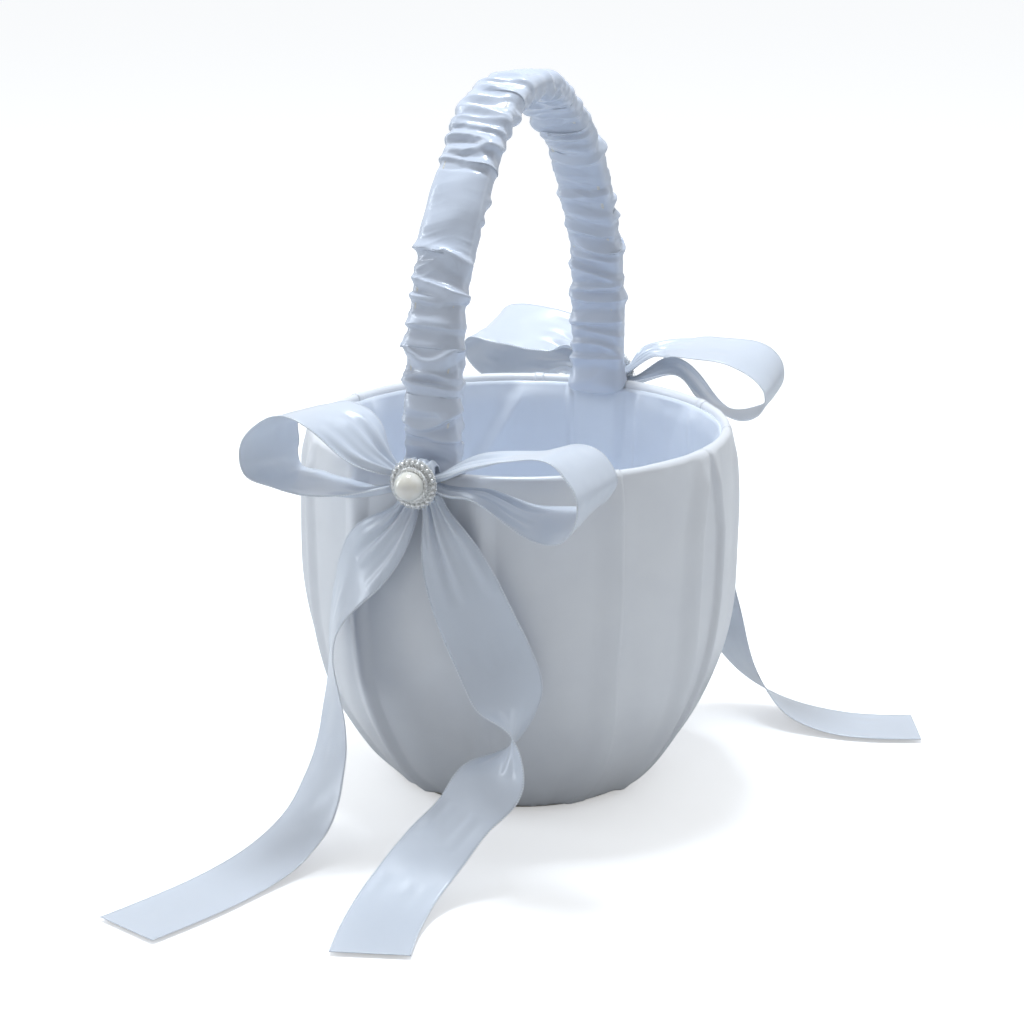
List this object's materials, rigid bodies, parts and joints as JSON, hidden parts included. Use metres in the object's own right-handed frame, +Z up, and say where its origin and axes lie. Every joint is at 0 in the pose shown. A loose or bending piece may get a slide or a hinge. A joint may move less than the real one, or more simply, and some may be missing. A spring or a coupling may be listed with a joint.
{
  "type": "flower girl basket",
  "caption": "Satin-covered flower girl basket with a gathered arched handle, ribbon bows with pearl brooches, and trailing ribbon tails that lift.",
  "frame": {"origin": "middle of the base disc's underside, on the floor", "axes": "+Z up; the handle spans along Y; the front bow faces -Y, the back bow +Y"},
  "size_m": [0.1998, 0.3475, 0.2481],
  "materials": {
    "satin_cover": "satin weave",
    "satin_lining": "satin weave",
    "satin_ribbon": "satin ribbon with a woven edge",
    "card": "pressed card under a white paper face",
    "moulded_shell": "matte moulded",
    "core_strip": "matte extruded strip",
    "foam_padding": "soft foam wrap",
    "staple_wire": "bright wire",
    "glue": "set hot glue",
    "brooch_metal": "polished plating",
    "pearl": "pearlescent lacquer",
    "silver_beads": "polished plating"
  },
  "bodies": {
    "root": {"basket_shell": "moulded_shell", "outer_cover": "satin_cover", "inner_lining": "satin_lining", "inner_base_board": "satin_lining", "base_disc": "card", "handle_core": "core_strip", "handle_padding": "foam_padding", "handle_sleeve": "satin_cover", "handle_staples_front": "staple_wire", "handle_staples_back": "staple_wire", "front_bow_loop_left": "satin_ribbon", "front_bow_loop_right": "satin_ribbon", "front_bow_knot": "satin_ribbon", "front_bow_glue_pad": "glue", "front_brooch_cup": "brooch_metal", "front_brooch_pearl": "pearl", "front_brooch_beads": "silver_beads", "back_bow_loop_left": "satin_ribbon", "back_bow_loop_right": "satin_ribbon", "back_bow_knot": "satin_ribbon", "back_bow_glue_pad": "glue", "back_brooch_cup": "brooch_metal", "back_brooch_pearl": "pearl", "back_brooch_beads": "silver_beads"},
    "front_left_ribbon": {"front_tail_left": "satin_ribbon"},
    "front_right_ribbon": {"front_tail_right": "satin_ribbon"},
    "back_left_ribbon": {"back_tail_left": "satin_ribbon"},
    "back_right_ribbon": {"back_tail_right": "satin_ribbon"}
  },
  "joints": [
    {"name": "front_left_tail_lift", "type": "hinge", "parent": "root", "child": "front_left_ribbon", "pos_m": [0, -0.0795, 0.1182], "axis": [-1, 0, 0], "range_deg": [0, 45]},
    {"name": "front_right_tail_lift", "type": "hinge", "parent": "root", "child": "front_right_ribbon", "pos_m": [0, -0.0795, 0.1182], "axis": [-1, 0, 0], "range_deg": [0, 45]},
    {"name": "back_left_tail_lift", "type": "hinge", "parent": "root", "child": "back_left_ribbon", "pos_m": [0, 0.0795, 0.1182], "axis": [1, 0, 0], "range_deg": [0, 45]},
    {"name": "back_right_tail_lift", "type": "hinge", "parent": "root", "child": "back_right_ribbon", "pos_m": [0, 0.0795, 0.1182], "axis": [1, 0, 0], "range_deg": [0, 45]}
  ]
}
